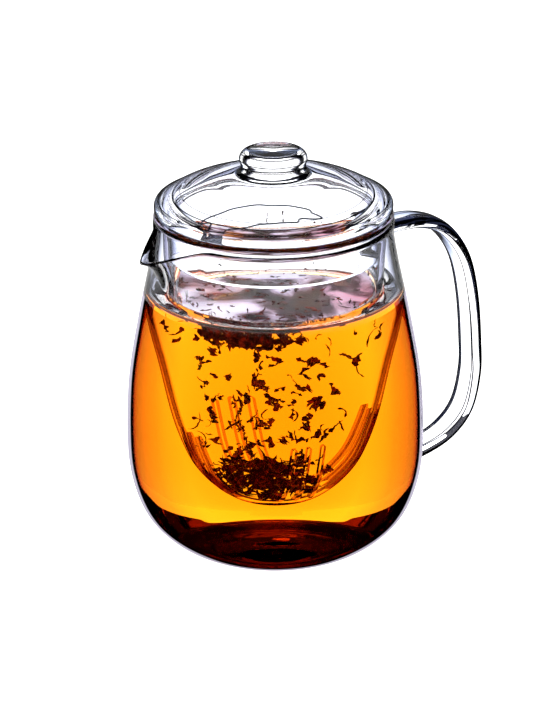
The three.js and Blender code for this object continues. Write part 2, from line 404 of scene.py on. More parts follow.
def leaf_material():
    """Wet, dark brown tea leaf: veined and mottled, redder in places, with a faint painted glow in its own
    colours in place of light shining through it.
    """
    material, nodes, links, shader = new_material("tea_leaf")
    place = nodes.new("ShaderNodeTexCoord")
    mottle = nodes.new("ShaderNodeTexNoise")
    mottle.inputs["Scale"].default_value = 420
    mottle.inputs["Detail"].default_value = 4
    links.new(place.outputs["Object"], mottle.inputs["Vector"])
    tone = ramp_node(nodes, [
        (0.3, (0.01, 0.001, 0.001)), (0.5, (0.05, 0.004, 0.003)), (0.72, (0.22, 0.014, 0.008)),
    ])
    links.new(mottle.outputs["Fac"], tone.inputs["Fac"])
    links.new(tone.outputs["Color"], shader.inputs["Base Color"])
    veins = nodes.new("ShaderNodeTexWave")
    veins.inputs["Scale"].default_value = 260
    veins.inputs["Distortion"].default_value = 6
    links.new(place.outputs["Object"], veins.inputs["Vector"])
    bump = nodes.new("ShaderNodeBump")
    bump.inputs["Strength"].default_value = 0.5
    bump.inputs["Distance"].default_value = 0.1 * MM
    links.new(veins.outputs["Fac"], bump.inputs["Height"])
    links.new(bump.outputs["Normal"], shader.inputs["Normal"])
    shader.inputs["Roughness"].default_value = 0.45
    shader.inputs["Specular IOR Level"].default_value = 0.08
    # painted light: the leaf glows faintly in its own colours
    links.new(tone.outputs["Color"], shader.inputs["Emission Color"])
    shader.inputs["Emission Strength"].default_value = 0.22
    return material


# ---- jug ----

JUG_OUTLINE = spline(mm_points([
    (30, 0), (36.8, 1.3), (44.4, 6.2), (51, 14.5), (55, 27), (56.1, 42),
    (54.7, 66), (50.4, 90), (46.1, 110), (44.1, 121.5), (44.3, 126.2),
]), 110)

LIP_REACH = 12 * MM
LIP_DROP = 7 * MM
LIP_HALF_ANGLE = math.radians(22)
LIP_DROP_HALF_ANGLE = math.radians(27)
LIP_SHARPNESS = 1.4
LIP_FADE_HEIGHT = 22 * MM
LIP_TIP_ROUND = math.radians(1.2)
WALL_BLEND_HEIGHT = 20 * MM      # over this height the base's thickness passes into the wall's


def jug_wall(point):
    rise = min(max(point[1] / WALL_BLEND_HEIGHT, 0), 1)
    rise = rise * rise * (3 - 2 * rise)
    return JUG_BASE + (JUG_WALL - JUG_BASE) * rise


def pull_lip(vertex):
    x, y, z = vertex
    height = (z - (JUG_TOP - LIP_FADE_HEIGHT)) / LIP_FADE_HEIGHT
    if height <= 0 or x >= 0:
        return vertex
    angle = abs(math.atan2(y, -x))
    angle = math.hypot(angle, LIP_TIP_ROUND) - LIP_TIP_ROUND
    outwards = max(0, 1 - angle / LIP_HALF_ANGLE) ** LIP_SHARPNESS
    downwards = max(0, 1 - angle / LIP_DROP_HALF_ANGLE) ** LIP_SHARPNESS
    radius = math.hypot(x, y)
    scale = (radius + LIP_REACH * outwards * height ** 1.6) / radius
    return (x * scale, y * scale, z - LIP_DROP * downwards * height ** 2)


def split_at(outline, level):
    """Adds a point to an upright outline where it crosses the level."""
    made = []
    for a, b in zip(outline, outline[1:]):
        made.append(a)
        if (a[1] - level) * (b[1] - level) < 0:
            made.append(a + (b - a) * (level - a[1]) / (b[1] - a[1]))
    return made + [outline[-1]]


# painted shade: a thin dark band of glass on the wall just above the tea
PAINTED_CONTACT_BAND = 0.7 * MM          # height of the dark line where the tea's surface meets the wall
JUG_INSIDE = split_at(split_at(offset_inwards(JUG_OUTLINE, jug_wall), TEA_LEVEL), TEA_LEVEL + PAINTED_CONTACT_BAND)


def jug_radius_at(height):
    heights = [p[1] for p in JUG_OUTLINE]
    return float(np.interp(height, heights, [p[0] for p in JUG_OUTLINE]))


# places in make_jug's list of materials
JUG_DRY, JUG_WET, JUG_STRAP, JUG_FULL, JUG_PAINTED_EDGE_LINE, JUG_PAINTED_TEA_LINE = range(6)


def jug_shell(materials):
    rim = half_round(JUG_OUTLINE[-1], JUG_INSIDE[-1], 10)
    inside = JUG_INSIDE[::-1]
    floor_z = inside[-1][1]
    outline = [
        (0, 0), (BASE_FLAT_RADIUS * 0.5, 0), *JUG_OUTLINE, *rim, *inside,
        (BASE_FLAT_RADIUS * 0.5, floor_z), (0, floor_z),
    ]
    wet = {tuple(np.round(p, 9)) for p in inside if p[1] <= TEA_LEVEL + 1e-9}
    wet |= {tuple(np.round(p, 9)) for p in outline[-2:]}

    def slot_of(a, b):
        if all(tuple(np.round(p, 9)) in wet for p in (a, b)):
            return JUG_WET
        if max(a[0], b[0]) < jug_radius_at((a[1] + b[1]) / 2) - 0.5 * MM:
            on_painted_tea_line = TEA_LEVEL < (a[1] + b[1]) / 2 < TEA_LEVEL + PAINTED_CONTACT_BAND
            return JUG_PAINTED_TEA_LINE if on_painted_tea_line else JUG_DRY
        return JUG_FULL if max(a[1], b[1]) < TEA_LEVEL + 0.3 * MM else JUG_DRY

    return revolve("jug_glass", outline, materials, slot_of, pull_lip)


HANDLE_WIDTH = 12.4 * MM
HANDLE_THICKNESS = 5.4 * MM
ROOT_FLARE_LENGTH = 8 * MM
ROOT_FLARE = 0.28
HANDLE_SQUARENESS = 0.72
HANDLE_CORNERS = 56              # facets round the strap

HANDLE_PATH = spline([(x * MM, 0, z * MM) for x, z in [
    (42.6, 115.1), (53, 115.3), (63, 114.6), (72.5, 111), (80, 103.4), (85.3, 93.3), (88.8, 78),
    (90.6, 60), (90.9, 46), (87.5, 32), (79.5, 23.4), (68, 18.8), (51.3, 16.1),
]], 150)


def on_painted_edge_line(section, k):
    """Whether a facet of the strap's section lies on one of the painted dark lines along its corners: painted
    shade in place of the dark edges that bent light gives real glass.
    """
    across = section[k][0] + section[(k + 1) % len(section)][0]
    wide = abs(section[k][1] + section[(k + 1) % len(section)][1])
    out, side = across / HANDLE_THICKNESS, wide / HANDLE_WIDTH
    outer_side = 0.1 < out < 0.85 and side > 0.8
    inner_corner = -0.95 < out < -0.82 and side > 0.6
    return outer_side or inner_corner


def handle_strap(materials):
    section = []
    corners = HANDLE_CORNERS
    for i in range(corners):
        a = 2 * math.pi * i / corners
        c, s = math.cos(a), math.sin(a)
        section.append((
            math.copysign(abs(c) ** HANDLE_SQUARENESS, c) * HANDLE_THICKNESS / 2,
            math.copysign(abs(s) ** HANDLE_SQUARENESS, s) * HANDLE_WIDTH / 2,
        ))
    verts, faces, slots = [], [], []
    count = len(HANDLE_PATH)
    for i, centre in enumerate(HANDLE_PATH):
        along = HANDLE_PATH[min(i + 1, count - 1)] - HANDLE_PATH[max(i - 1, 0)]
        along /= np.linalg.norm(along)
        out = np.array([-along[2], 0, along[0]])
        stand = centre[0] - jug_radius_at(centre[2])
        near = min(max(1 - stand / ROOT_FLARE_LENGTH, 0), 1) ** 2
        grow = 1 + ROOT_FLARE * near
        for across, wide in section:
            verts.append(centre + out * across * grow + np.array([0, wide * grow, 0]))
    for i in range(count - 1):
        for k in range(corners):
            n = (k + 1) % corners
            faces.append((i * corners + k, (i + 1) * corners + k, (i + 1) * corners + n, i * corners + n))
            slots.append(JUG_PAINTED_EDGE_LINE if on_painted_edge_line(section, k) else JUG_STRAP)
    faces.append(tuple(range(corners)))
    faces.append(tuple(reversed(range((count - 1) * corners, count * corners))))
    strap = new_mesh_object("handle_strap", verts, faces, materials)
    strap.data.polygons.foreach_set("material_index", slots + [JUG_STRAP, JUG_STRAP])
    return strap


def make_jug():
    """The jug with its fused handle."""
    clear = glass_material(
        "jug_glass", GLASS_IOR, CLEAR_THROUGH, CLEAR_MIRROR, waves=0.05, wave_scale=18, inner_mirror=False,
    )
    wet = glass_material(
        "jug_glass_wet", WET_IOR, [(0, WHITE), (1, WHITE)], NO_MIRROR, inner_colour=JUG_WET_INNER,
    )
    strap = glass_material(
        "handle_glass", GLASS_IOR, STRAP_THROUGH, SOFT_MIRROR, waves=0.05, wave_scale=30,
    )
    full = glass_material(
        "jug_glass_full", GLASS_IOR, FULL_THROUGH, FULL_MIRROR, BAND_COLOUR, inner_colour=JUG_FULL_INNER,
    )
    # painted shade: near-black glass on the strap's edge lines
    line = glass_material(
        "handle_painted_line_glass", GLASS_IOR, STRAP_THROUGH, NO_MIRROR, painted_tint=(0.01, 0.012, 0.025),
    )
    # painted shade: dark red-brown glass in a thin band on the wall just above the tea
    painted_contact_line = glass_material(
        "painted_tea_line_glass", GLASS_IOR, CLEAR_THROUGH, NO_MIRROR, painted_tint=(0.12, 0.012, 0.008),
    )
    materials = [clear, wet, strap, full, line, painted_contact_line]
    jug = jug_shell(materials)
    apply_boolean(jug, handle_strap(materials), "UNION")
    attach(jug, "jug")
    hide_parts("jug_body", "handle")


# ---- infuser ----

BOWL_OUTLINE = split_at(spline([
    (0, INFUSER_LOW), *mm_points([
        (9.5, 21.7), (16, 25.5), (21.6, 32), (25.2, 39.5), (29.2, 52.5), (33, 71), (37, 88),
        (39.8, 102), (40.6, 114), (40.6, 125.4),
    ]),
], 100), TEA_LEVEL)
BOWL_INSIDE = split_at(offset_inwards(BOWL_OUTLINE, lambda p: INFUSER_WALL), TEA_LEVEL)

SLOT_WIDTH = 1.5 * MM
SLOT_SPACING = 4.8 * MM
SLOT_LOW = 25 * MM
SLOT_HIGH = 49.5 * MM
INFUSER_TURN = math.radians(-9)  # the loose infuser sits turned by this much
SLOT_MATERIAL = 2                # place of the slots' glass in the infuser's list of materials


def slot_cutters():
    """All upright slots as one mesh: four groups of three, round at both ends."""
    half, reach = SLOT_WIDTH / 2, NECK_RADIUS
    arc = 6
    verts, faces = [], []
    for group in range(4):
        turn = group * math.pi / 2 + INFUSER_TURN
        for slot in (-1, 0, 1):
            outline = []
            for centre, start in ((SLOT_HIGH - half, 0), (SLOT_LOW + half, math.pi)):
                for i in range(arc + 1):
                    a = start + math.pi * i / arc
                    across = slot * SLOT_SPACING + half * math.cos(a)
                    outline.append((across, centre + half * math.sin(a)))
            base = len(verts)
            for y in (-2 * MM, -reach):
                for x, z in outline:
                    verts.append((
                        x * math.cos(turn) - y * math.sin(turn), x * math.sin(turn) + y * math.cos(turn), z,
                    ))
            n = len(outline)
            for i in range(n):
                j = (i + 1) % n
                faces.append((base + i, base + j, base + n + j, base + n + i))
            faces.append(tuple(base + i for i in reversed(range(n))))
            faces.append(tuple(base + n + i for i in range(n)))
    cutters = new_mesh_object("slot_cutters", verts, faces, smooth=False)
    cutters.data.polygons.foreach_set("material_index", [SLOT_MATERIAL] * len(faces))
    return cutters


# the other places in make_infuser's list of materials, beside SLOT_MATERIAL
INFUSER_DRY, INFUSER_WET = 0, 1


def make_infuser():
    dry = glass_material(
        "infuser_glass", GLASS_IOR, CLEAR_THROUGH, CLEAR_MIRROR, waves=0.04, wave_scale=25,
        inner_colour=(0.8, 0.76, 0.84),
    )
    wet = glass_material(
        "infuser_glass_wet", BOWL_WET_IOR, WET_THROUGH, NO_MIRROR, inner_colour=BOWL_WET_INNER,
    )
    # painted shade: the slots' cut faces pass light darkened to red-brown
    sawn = glass_material(
        "infuser_slot_glass", SLOT_WET_IOR, WET_THROUGH, NO_MIRROR, painted_tint=(0.62, 0.36, 0.34),
        inner_colour=SLOT_WET_INNER,
    )
    low_edge = (FLANGE_RADIUS - FLANGE_THICKNESS / 2, INFUSER_TOP - FLANGE_THICKNESS)
    high_edge = (FLANGE_RADIUS - FLANGE_THICKNESS / 2, INFUSER_TOP)
    neck_inside = NECK_RADIUS - INFUSER_WALL
    flange = [
        (NECK_RADIUS + 0.15 * MM, low_edge[1] - 1.2 * MM), (NECK_RADIUS + 0.6 * MM, low_edge[1] - 0.5 * MM),
        (NECK_RADIUS + 1.6 * MM, low_edge[1]), low_edge, *half_round(low_edge, high_edge, 8), high_edge,
        (neck_inside + 1.6 * MM, INFUSER_TOP), (neck_inside + 0.8 * MM, INFUSER_TOP - 0.25 * MM),
        (neck_inside + 0.25 * MM, INFUSER_TOP - 0.8 * MM),
    ]
    inside = BOWL_INSIDE[::-1]
    inside[-1] = np.array([0, INFUSER_LOW + INFUSER_WALL])

    def slot_of(a, b):
        return INFUSER_WET if max(a[1], b[1]) <= TEA_LEVEL + 1e-9 else INFUSER_DRY

    infuser = revolve("infuser_glass", [*BOWL_OUTLINE, *flange, *inside], [dry, wet, sawn], slot_of)
    apply_boolean(infuser, slot_cutters(), "DIFFERENCE")
    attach(infuser, "infuser")
    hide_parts("infuser")


# ---- lid with its fused knob ----

# rings of painted shade, darker glass, on the lid's tight corners: radius, height above the seat, half width
LID_PAINTED_EDGE_LINES = [
    (LID_RADIUS - 0.75 * MM, 0.45 * MM, 0.16 * MM),
    (LID_RADIUS - 1.75 * MM, 4.62 * MM, 0.16 * MM),
    (SKIRT_RADIUS - SKIRT_WALL, 1.1 * MM, 0.2 * MM),
]
LID_PAINTED_CEILING_LINES = [(35.3 * MM, 0.2 * MM), (33 * MM, 0.14 * MM)]     # radius, half width


# places in make_lid's list of materials
LID_DOME, LID_RIM, LID_BUTTON, LID_PAINTED_LINE = range(4)


def ceiling_height(radius, profile):
    return float(np.interp(radius, [p[0] for p in profile], [p[1] for p in profile]))


def make_lid():
    dome = glass_material("lid_glass", GLASS_IOR, CLEAR_THROUGH, SOFT_MIRROR, waves=0.06, wave_scale=22)
    rim = glass_material("lid_rim_glass", GLASS_IOR, STRAP_THROUGH, SOFT_MIRROR, waves=0.06, wave_scale=22)
    # painted shade: near-black glass for the dark rings on the lid
    line = glass_material("lid_painted_line_glass", GLASS_IOR, CLEAR_THROUGH, NO_MIRROR, painted_tint=(0.03, 0.032, 0.045))
    button = glass_material(
        "knob_glass", GLASS_IOR, KNOB_THROUGH, SOFT_MIRROR, waves=0.03, wave_scale=60, inner_mirror=False,
    )
    seat = LID_SEAT
    under_crown = LID_CROWN - LID_WALL
    skirt_inside = SKIRT_RADIUS - SKIRT_WALL
    ceiling = spline([
        (0, under_crown), (12 * MM, under_crown), (24 * MM, under_crown - 2.2 * MM),
        (34.6 * MM, seat + 4 * MM), (skirt_inside, seat + 0.6 * MM),
    ], 160)
    lines = LID_PAINTED_EDGE_LINES + [(r, ceiling_height(r, ceiling) - seat, half) for r, half in LID_PAINTED_CEILING_LINES]
    skirt_in = (skirt_inside, LID_LOW + SKIRT_WALL / 2)
    skirt_out = (SKIRT_RADIUS, LID_LOW + SKIRT_WALL / 2)
    edge = spline([
        (SKIRT_RADIUS, seat - 3 * MM), (SKIRT_RADIUS + 0.1 * MM, seat - 1.2 * MM),
        (SKIRT_RADIUS + 1.1 * MM, seat), (LID_RADIUS - 2.4 * MM, seat),
        (LID_RADIUS - 0.5 * MM, seat + 0.7 * MM), (LID_RADIUS, seat + 2.3 * MM),
        (LID_RADIUS - 0.5 * MM, seat + 3.9 * MM),
        (LID_RADIUS - 1.9 * MM, seat + 4.7 * MM), (34 * MM, LID_CROWN - 5.2 * MM),
        (23 * MM, LID_CROWN - 1.6 * MM), (KNOB_RADIUS + 1.2 * MM, LID_CROWN),
    ], 240)
    knob = spline([
        (KNOB_RADIUS + 0.1 * MM, LID_CROWN + 0.5 * MM), (KNOB_RADIUS - 0.7 * MM, LID_CROWN + 1.7 * MM),
        (KNOB_RADIUS - 0.45 * MM, LID_CROWN + 3.9 * MM), (KNOB_RADIUS, KNOB_TOP - 3.2 * MM),
        (KNOB_RADIUS - 0.7 * MM, KNOB_TOP - 1.3 * MM), (KNOB_RADIUS - 2.6 * MM, KNOB_TOP - 0.1 * MM),
        (KNOB_RADIUS - 6 * MM, KNOB_TOP - 0.3 * MM), (0.3 * MM, KNOB_TOP - 0.9 * MM),
    ], 60)
    outline = [
        *ceiling, skirt_in, *half_round(skirt_in, skirt_out, 8), skirt_out, *edge, *knob,
        (0, KNOB_TOP - 0.9 * MM),
    ]

    def slot_of(a, b):
        if min(a[1], b[1]) > LID_CROWN - 0.1 * MM:
            return LID_BUTTON
        radius, height = (a[0] + b[0]) / 2, (a[1] + b[1]) / 2 - seat
        on_painted_line = any(math.hypot(radius - r, height - h) < half for r, h, half in lines)
        if on_painted_line:
            return LID_PAINTED_LINE
        return LID_RIM if radius > LID_RADIUS - 2.5 * MM else LID_DOME

    lid = revolve("lid_glass", outline, [dome, rim, button, line], slot_of)
    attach(lid, "lid")
    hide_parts("lid", "lid_knob")
    return ceiling


# ---- tea ----

TEA_OVERLAP = 0.12 * MM          # the tea's sides lie this far inside the jug's wall
MENISCUS_RISE = 1.1 * MM
MENISCUS_REACH = 2.6 * MM


def meniscus(wall_radius, side):
    """The surface's curve up to a wall, from the flat out. side is 1 for a wall outside, -1 inside."""
    made = []
    steps = 8
    for i in range(steps + 1):
        away = MENISCUS_REACH * (1 - i / steps)
        rise = MENISCUS_RISE * math.exp(-3.2 * away / MENISCUS_REACH) - MENISCUS_RISE * math.exp(-3.2)
        made.append((wall_radius - side * away, TEA_LEVEL + rise))
    return made


def make_tea():
    inside = [p for p in JUG_INSIDE if p[1] <= TEA_LEVEL + MENISCUS_RISE]
    side = offset_inwards(inside, lambda p: -TEA_OVERLAP)
    floor_z = side[0][1]
    outline = [(0, floor_z), *side]
    jug_radius = side[-1][0]
    bowl_out = float(np.interp(TEA_LEVEL, [p[1] for p in BOWL_OUTLINE], [p[0] for p in BOWL_OUTLINE]))
    bowl_in = bowl_out - INFUSER_WALL
    outline += meniscus(jug_radius, 1)[::-1]
    outline += meniscus(bowl_out - 0.2 * MM, -1)
    outline += meniscus(bowl_in + 0.2 * MM, 1)[::-1]
    outline += [(bowl_in * k, TEA_LEVEL) for k in (0.75, 0.5, 0.25)] + [(0, TEA_LEVEL)]
    tea = revolve("tea", outline, [tea_material()])
    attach(tea, "jug")


# ---- tea leaves ----

LEAF_STEPS = 9
LEAF_ACROSS = 3
LEAF_THICKNESS = 0.16 * MM
LEAF_FLOAT = 0.5 * MM            # how far a leaf may stand out of the tea
OUTSIDE = 50 * MM                # a radius past the bowl, which keep_in_bowl draws in to its wall


def leaf_shape(length, width, curl, twist, seed):
    """One torn, curled leaf scrap about its own centre: a thin ragged strip, as verts and faces."""
    pick = random.Random(seed)
    phase = pick.uniform(0, 6.28)
    curl = max(curl, 0.05)
    top, bottom = [], []
    ragged = 1.0
    for i in range(LEAF_STEPS + 1):
        t = i / LEAF_STEPS
        blunt = min(1, 6 * t + 0.25, 6 * (1 - t) + 0.25)
        ragged = min(max(ragged + pick.uniform(-0.6, 0.6), 0.25), 1.3)
        half = width / 2 * blunt * ragged
        bend = curl * (t - 0.5)
        centre = Vector((
            length * math.sin(bend) / curl,
            width * pick.uniform(-0.3, 0.3),
            length * (1 - math.cos(bend)) / curl,
        ))
        roll = twist * (t - 0.5) + 0.4 * math.sin(phase + 5 * t)
        for k in range(LEAF_ACROSS + 1):
            u = 2 * k / LEAF_ACROSS - 1
            fold = 0.4 * abs(u) * half
            edge = Vector((
                pick.uniform(-0.08, 0.08) * width,
                u * half * math.cos(roll) - fold * math.sin(roll),
                u * half * math.sin(roll) + fold * math.cos(roll),
            ))
            top.append(centre + edge)
            bottom.append(centre + edge - Vector((0, 0, LEAF_THICKNESS)))
    verts = top + bottom
    n, row = len(top), LEAF_ACROSS + 1
    faces = []
    for i in range(LEAF_STEPS):
        for k in range(LEAF_ACROSS):
            a, b = i * row + k, i * row + k + 1
            c, d = b + row, a + row
            faces.append((a, b, c, d))
            faces.append((n + d, n + c, n + b, n + a))
        for k, flip in ((0, False), (LEAF_ACROSS, True)):
            a, d = i * row + k, (i + 1) * row + k
            side = (a, d, n + d, n + a)
            faces.append(side[::-1] if flip else side)
    for k in range(LEAF_ACROSS):
        faces.append((k + 1, k, n + k, n + k + 1))
        a = LEAF_STEPS * row + k
        faces.append((a, a + 1, n + a + 1, n + a))
    return verts, faces


def bowl_inside_radius(height):
    heights = [p[1] for p in BOWL_INSIDE]
    return float(np.interp(height, heights, [p[0] for p in BOWL_INSIDE]))


def keep_in_bowl(place, margin):
    limit = bowl_inside_radius(place.z) - margin
    flat = math.hypot(place.x, place.y)
    if flat > limit:
        place.x *= limit / flat
        place.y *= limit / flat
    return place


def leaf_cloud(name, material, count, pick_place, length, width, upright=0.0, curl=(0.1, 2.6), top=TEA_LEVEL):
    """Many leaf scraps as one piece. pick_place gives each one's centre, upright tips them on end."""
    verts, faces = [], []
    for i in range(count):
        place = pick_place(i)
        size = rng.uniform(*length)
        v, f = leaf_shape(size, rng.uniform(*width), rng.uniform(*curl), rng.uniform(-2.5, 2.5), rng.random())
        tip = rng.uniform(-0.5, 0.5) + upright * math.pi / 2
        turn = (
            Matrix.Rotation(rng.uniform(0, 2 * math.pi), 3, "Z")
            @ Matrix.Rotation(tip, 3, "Y")
            @ Matrix.Rotation(rng.uniform(0, 2 * math.pi), 3, "X")
        )
        base = len(verts)
        for p in v:
            q = turn @ p + place
            q.z = min(q.z, top + LEAF_FLOAT)
            verts.append(keep_in_bowl(q, 0.15 * MM))
        faces += [tuple(base + k for k in face) for face in f]
    piece = new_mesh_object(name, verts, faces, [material])
    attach(piece, "infuser")


def view_side(right, away, height):
    """A place by how far it is to the right of and behind the axis, as the main view sees it."""
    x = right * math.cos(CAMERA_AZIMUTH) - away * math.sin(CAMERA_AZIMUTH)
    y = right * math.sin(CAMERA_AZIMUTH) + away * math.cos(CAMERA_AZIMUTH)
    return Vector((x * MM, y * MM, height * MM))


def make_leaves():
    leaf = leaf_material()

    def bed(i):
        radius = rng.uniform(0, 1) ** 0.6
        angle = rng.uniform(0, 2 * math.pi)
        height = rng.uniform(25, 36) - 5 * radius
        right = -3 + 15 * radius * math.cos(angle)
        return keep_in_bowl(view_side(right, 9 * radius * math.sin(angle), height + 3 * radius), 1.5 * MM)

    def scattered(i):
        height = rng.uniform(34, 98)
        room = bowl_inside_radius(height * MM) - 2.5 * MM
        radius = room * math.sqrt(rng.uniform(0, 1))
        angle = rng.uniform(0, 2 * math.pi)
        return Vector((radius * math.cos(angle), radius * math.sin(angle), height * MM))

    def raft(i):
        right = rng.triangular(-30, 10, -13)
        depth = rng.uniform(0, 1) ** 1.4 * (9.5 - 0.12 * abs(right + 11))
        return keep_in_bowl(view_side(right, rng.uniform(-37, -29), 100 - depth), 0.8 * MM)

    def chain(i):
        drop = i / 20
        right = -8 + 3 * math.sin(7 * drop) + rng.uniform(-0.6, 0.6)
        return view_side(right, rng.uniform(-27, -24) + 9 * drop, 93 - 52 * drop)

    def afloat(i):
        angle = rng.uniform(0, 2 * math.pi)
        radius = (37 * math.sqrt(rng.uniform(0, 1))) * MM
        return Vector((radius * math.cos(angle), radius * math.sin(angle), TEA_LEVEL + 0.3 * MM))

    def stuck(i):
        angle = rng.uniform(0, 2 * math.pi)
        height = TEA_LEVEL + rng.uniform(0, 1) ** 1.6 * 9 * MM
        return keep_in_bowl(Vector((math.cos(angle) * OUTSIDE, math.sin(angle) * OUTSIDE, height)), 0.5 * MM)

    def edge(i):
        angle = rng.uniform(0, 2 * math.pi)
        spot = Vector((math.cos(angle) * OUTSIDE, math.sin(angle) * OUTSIDE, TEA_LEVEL - 1 * MM))
        return keep_in_bowl(spot, 0.9 * MM)

    long_curl = (1, 4)
    short_curl = (0.1, 1.8)
    leaf_cloud("leaf_bed", leaf, 210, bed, (3 * MM, 9 * MM), (1 * MM, 2.6 * MM))
    leaf_cloud(
        "leaf_scraps", leaf, 135, scattered, (2.2 * MM, 6.2 * MM), (0.9 * MM, 2.9 * MM), 0.5, short_curl,
    )
    leaf_cloud(
        "leaf_stems", leaf, 34, scattered, (4 * MM, 11 * MM), (0.4 * MM, 0.8 * MM), 0.6, long_curl,
    )
    leaf_cloud("leaf_raft", leaf, 180, raft, (4 * MM, 8 * MM), (1.6 * MM, 3.6 * MM))
    leaf_cloud("leaf_chain", leaf, 21, chain, (3 * MM, 5.5 * MM), (0.8 * MM, 2.4 * MM), 1.0)
    leaf_cloud("leaf_afloat", leaf, 110, afloat, (1.5 * MM, 5 * MM), (0.9 * MM, 2.8 * MM))
    leaf_cloud("leaf_edge", leaf, 100, edge, (1.5 * MM, 4.5 * MM), (0.6 * MM, 2 * MM))
    leaf_cloud("leaf_stuck", leaf, 70, stuck, (0.8 * MM, 2.6 * MM), (0.4 * MM, 1.3 * MM), 0.8, top=JUG_TOP)


# ---- froth and mist on the tea inside the infuser, water film under the lid ----

# mm to the right of and behind the axis as the main view sees it, reach in mm, depth at the centre
FROTH_SMUDGES = [
    (9, -19, 18, 0.24), (-8, -31, 9, 0.26), (-16, 22, 13, 0.2), (0, 12, 18, 0.2), (24, 4, 12, 0.16),
]
FROTH_BLUSH = (30, -10, 24, 0.9)


def patch_node(nodes, links, place, right, away, reach, depth):
    """A soft round patch round one place on the tea: depth at its centre, 0 from its reach on."""
    gap = nodes.new("ShaderNodeVectorMath")
    gap.operation = "DISTANCE"
    gap.inputs[1].default_value = view_side(right, away, TEA_LEVEL / MM)
    links.new(place.outputs["Object"], gap.inputs[0])
    fade = nodes.new("ShaderNodeMapRange")
    fade.inputs["From Max"].default_value = reach * MM
    fade.inputs["To Min"].default_value = depth
    fade.inputs["To Max"].default_value = 0.0
    links.new(gap.outputs["Value"], fade.inputs["Value"])
    return fade.outputs["Result"]


def froth_material(name, cover_stops):
    """Thin pale froth or mist: lilac-white patches, darker smudges between them, and thin places. Its colour
    also glows, a painted light in place of the light that the glass above keeps from it.
    """
    material, nodes, links, shader = new_material(name)
    place = nodes.new("ShaderNodeTexCoord")
    patches = nodes.new("ShaderNodeTexNoise")
    patches.inputs["Scale"].default_value = 40
    patches.inputs["Detail"].default_value = 8
    patches.inputs["Distortion"].default_value = 0.8
    links.new(place.outputs["Object"], patches.inputs["Vector"])
    tone = ramp_node(nodes, [
        (0.36, (0.008, 0.005, 0.008)), (0.42, (0.06, 0.035, 0.05)), (0.47, (0.35, 0.27, 0.36)),
        (0.53, (0.68, 0.62, 0.74)), (0.66, (0.92, 0.89, 0.98)),
    ])
    level = patches.outputs["Fac"]
    for right, away, reach, depth in FROTH_SMUDGES:
        shade = nodes.new("ShaderNodeMath")
        shade.operation = "SUBTRACT"
        links.new(level, shade.inputs[0])
        links.new(patch_node(nodes, links, place, right, away, reach, depth), shade.inputs[1])
        level = shade.outputs["Value"]
    links.new(level, tone.inputs["Fac"])
    blush = nodes.new("ShaderNodeMix")
    blush.data_type = "RGBA"
    blush.blend_type = "MULTIPLY"
    blush.inputs["B"].default_value = (1.0, 0.42, 0.5, 1)
    links.new(patch_node(nodes, links, place, *FROTH_BLUSH), blush.inputs["Factor"])
    links.new(tone.outputs["Color"], blush.inputs["A"])
    links.new(blush.outputs["Result"], shader.inputs["Base Color"])
    # painted light: the froth and mist glow in their own colour
    links.new(blush.outputs["Result"], shader.inputs["Emission Color"])
    shader.inputs["Emission Strength"].default_value = 0.7
    cover = nodes.new("ShaderNodeTexNoise")
    cover.inputs["Scale"].default_value = 38
    cover.inputs["Detail"].default_value = 3
    links.new(place.outputs["Object"], cover.inputs["Vector"])
    thick = ramp_node(nodes, grey_stops(*cover_stops))
    links.new(cover.outputs["Fac"], thick.inputs["Fac"])
    links.new(thick.outputs["Color"], shader.inputs["Alpha"])
    shader.inputs["Roughness"].default_value = 0.5
    shader.inputs["Specular IOR Level"].default_value = 0.1
    return material


FROTH_LIFT = 0.12 * MM           # the froth's height above the tea
FROTH_RINGS = 10
FROTH_SIDES = 96


def make_froth():
    """A disc on the tea inside the infuser, with a wavy outer edge."""
    bowl_in = bowl_inside_radius(TEA_LEVEL) - 1.0 * MM
    height = TEA_LEVEL + FROTH_LIFT
    verts, faces = [(0, 0, height)], []
    for i in range(1, FROTH_RINGS + 1):
        for k in range(FROTH_SIDES):
            a = 2 * math.pi * k / FROTH_SIDES
            dent = 0.03 * math.sin(5 * a) + 0.02 * math.sin(11 * a + 1) if i == FROTH_RINGS else 0
            r = bowl_in * i / FROTH_RINGS * (1 - dent)
            verts.append((r * math.cos(a), r * math.sin(a), height))
    for k in range(FROTH_SIDES):
        n = (k + 1) % FROTH_SIDES
        faces.append((0, 1 + k, 1 + n))
        for i in range(FROTH_RINGS - 1):
            low, high = 1 + i * FROTH_SIDES, 1 + (i + 1) * FROTH_SIDES
            faces.append((low + k, high + k, high + n, low + n))
    material = froth_material("froth", [(0.3, 0.5), (0.45, 0.93), (0.6, 1.0)])
    froth = new_mesh_object("froth", verts, faces, [material])
    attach(froth, "infuser")


MIST_HEIGHT = 11 * MM


def make_mist():
    """A patchy band of mist on the infuser's inside, just above the tea."""
    sides, rows = 120, 6
    verts, faces = [], []
    for i in range(rows + 1):
        for k in range(sides):
            a = 2 * math.pi * k / sides
            top = MIST_HEIGHT * (0.75 + 0.15 * math.sin(3 * a + 1) + 0.1 * math.sin(8 * a))
            z = TEA_LEVEL + 0.6 * MM + top * i / rows
            r = bowl_inside_radius(z) - 0.1 * MM
            verts.append((r * math.cos(a), r * math.sin(a), z))
    for i in range(rows):
        for k in range(sides):
            n = (k + 1) % sides
            faces.append((i * sides + k, (i + 1) * sides + k, (i + 1) * sides + n, i * sides + n))
    material = froth_material("mist", [(0.5, 0.0), (0.62, 0.1), (0.72, 0.3)])
    mist = new_mesh_object("mist", verts, faces, [material])
    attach(mist, "infuser")


FILM_CENTRE = (-5.3, -28.5)      # mm to the right of and behind the axis, as the main view sees it
FILM_REACH = (20, 4.5)           # mm to each side of the centre
FILM_BEAD = 0.34 * MM            # radius of the film's rounded edge


